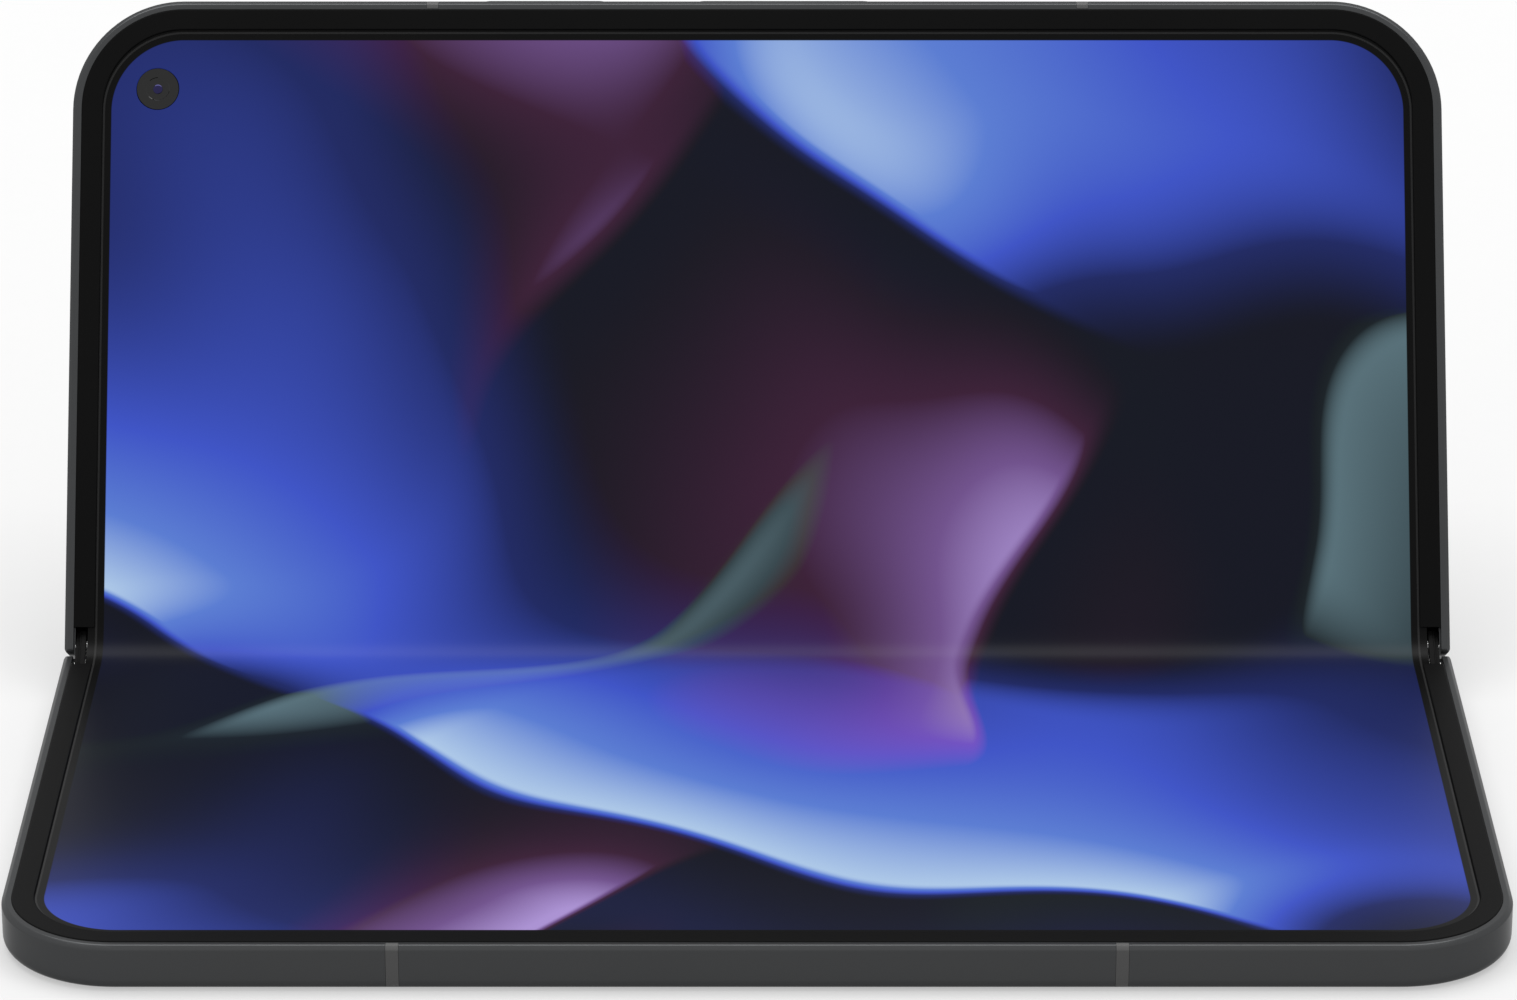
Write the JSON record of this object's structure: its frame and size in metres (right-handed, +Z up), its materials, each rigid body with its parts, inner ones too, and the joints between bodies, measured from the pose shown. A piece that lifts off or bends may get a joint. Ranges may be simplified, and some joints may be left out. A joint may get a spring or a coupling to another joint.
{
  "type": "foldable smartphone",
  "caption": "Book-style folding phone with a flexible inner screen, two geared hinge pivots, side keys, a card tray and a rear camera island.",
  "frame": {"origin": "middle of the lower half's flat underside, on the surface it stands on", "axes": "+X along the hinge to the side with the charging socket, +Y from the lower half towards the hinge, +Z up"},
  "size_m": [0.1552, 0.1159, 0.0695],
  "materials": {
    "graphite_frame": "bead-blasted dark anodised aluminium",
    "key_metal": "bead-blasted dark anodised aluminium",
    "seam_plastic": "matt moulded plastic",
    "rim_plastic": "soft matt black",
    "flexible_screen": "glossy flexible screen",
    "outer_glass": "polished black glass, opaque",
    "back_glass": "satin dark grey glass, opaque",
    "island_metal": "polished dark edge",
    "camera_cover": "polished black glass, opaque",
    "camera_body": "black lens barrel",
    "flash_lens": "pale diffuser",
    "spine_metal": "satin dark anodised aluminium",
    "cap_plastic": "dark grey moulded plastic",
    "steel": "plain bright steel",
    "inner_plate": "cast inner plate",
    "panel": "screen panel under glass",
    "battery_wrap": "dark foil wrap",
    "board_green": "circuit board",
    "speaker_black": "black moulded box",
    "coil_copper": "copper winding",
    "flex_amber": "amber film cable"
  },
  "bodies": {
    "lower_half": {"lower_frame": "graphite_frame", "lower_midplate": "inner_plate", "lower_bezel_rim": "rim_plastic", "lower_support_plate": "steel", "lower_screen": "flexible_screen", "cover_glass": "outer_glass", "cover_screen": "panel", "cover_camera": "camera_body", "lower_battery": "battery_wrap", "lower_board": "board_green", "lower_speaker": "speaker_black", "vibration_motor": "steel", "sim_socket": "steel", "lower_antenna_seams": "seam_plastic", "lower_magnets": "steel", "lower_screws": "steel", "lower_hinge_arms": "steel", "lower_pivot_gears": "steel"},
    "spine": {"spine_cover": "spine_metal", "left_end_cap": "cap_plastic", "right_end_cap": "cap_plastic", "hinge_brackets": "steel", "spine_tray": "steel", "bracket_screws": "steel", "bend_screen": "flexible_screen", "hinge_flex": "flex_amber"},
    "upper_half": {"upper_frame": "graphite_frame", "upper_midplate": "inner_plate", "upper_bezel_rim": "rim_plastic", "upper_support_plate": "steel", "upper_screen": "flexible_screen", "back_glass": "back_glass", "camera_island": "island_metal", "camera_glass": "camera_cover", "main_camera": "camera_body", "wide_camera": "camera_body", "zoom_camera": "camera_body", "flash": "flash_lens", "inner_camera": "camera_body", "main_board": "board_green", "processor_shield": "steel", "upper_battery": "battery_wrap", "charging_coil": "coil_copper", "usb_socket": "steel", "upper_speaker": "speaker_black", "key_switches": "steel", "upper_antenna_seams": "seam_plastic", "upper_magnets": "steel", "upper_screws": "steel", "upper_hinge_arms": "steel", "upper_pivot_gears": "steel"},
    "sim_tray": {"sim_tray": "graphite_frame"},
    "power_key": {"power_key": "key_metal"},
    "volume_key": {"volume_key": "key_metal"},
    "left_lower_idler": {"left_lower_idler": "steel"},
    "left_upper_idler": {"left_upper_idler": "steel"},
    "right_lower_idler": {"right_lower_idler": "steel"},
    "right_upper_idler": {"right_upper_idler": "steel"}
  },
  "joints": [
    {"name": "fold_lower", "type": "hinge", "parent": "lower_half", "child": "spine", "pos_m": [0, 0.03628, 0.004], "axis": [1, 0, 0], "range_deg": [-30, 60], "deforming": ["bend_screen", "hinge_flex"]},
    {"name": "fold_upper", "type": "hinge", "parent": "spine", "child": "upper_half", "pos_m": [0, 0.03848, 0.00527], "axis": [1, 0, 0], "range_deg": [-30, 60], "deforming": ["bend_screen", "hinge_flex"]},
    {"name": "left_lower_idler_spin", "type": "hinge", "parent": "spine", "child": "left_lower_idler", "pos_m": [-0.07485, 0.03734, 0.0037], "axis": [1, 0, 0], "range_deg": [-36, 72]},
    {"name": "left_upper_idler_spin", "type": "hinge", "parent": "spine", "child": "left_upper_idler", "pos_m": [-0.07485, 0.03821, 0.0042], "axis": [1, 0, 0], "range_deg": [-72, 36]},
    {"name": "right_lower_idler_spin", "type": "hinge", "parent": "spine", "child": "right_lower_idler", "pos_m": [0.07485, 0.03734, 0.0037], "axis": [1, 0, 0], "range_deg": [-36, 72]},
    {"name": "right_upper_idler_spin", "type": "hinge", "parent": "spine", "child": "right_upper_idler", "pos_m": [0.07485, 0.03821, 0.0042], "axis": [1, 0, 0], "range_deg": [-72, 36]},
    {"name": "sim_tray_slide", "type": "slide", "parent": "lower_half", "child": "sim_tray", "axis": [1, 0, 0], "range_m": [0, 0.02]},
    {"name": "power_key_press", "type": "slide", "parent": "upper_half", "child": "power_key", "axis": [0, -0.5, -0.866], "range_m": [0, 0.00025], "stiffness_N_per_m": 3000, "springref_m": -0.0001},
    {"name": "volume_key_press", "type": "slide", "parent": "upper_half", "child": "volume_key", "axis": [0, -0.5, -0.866], "range_m": [0, 0.00025], "stiffness_N_per_m": 3000, "springref_m": -0.0001}
  ],
  "couplings": [
    {"joint": "fold_upper", "follows": "fold_lower", "ratio": 1},
    {"joint": "left_lower_idler_spin", "follows": "fold_lower", "ratio": 1.2},
    {"joint": "left_upper_idler_spin", "follows": "fold_lower", "ratio": -1.2},
    {"joint": "right_lower_idler_spin", "follows": "fold_lower", "ratio": 1.2},
    {"joint": "right_upper_idler_spin", "follows": "fold_lower", "ratio": -1.2}
  ]
}
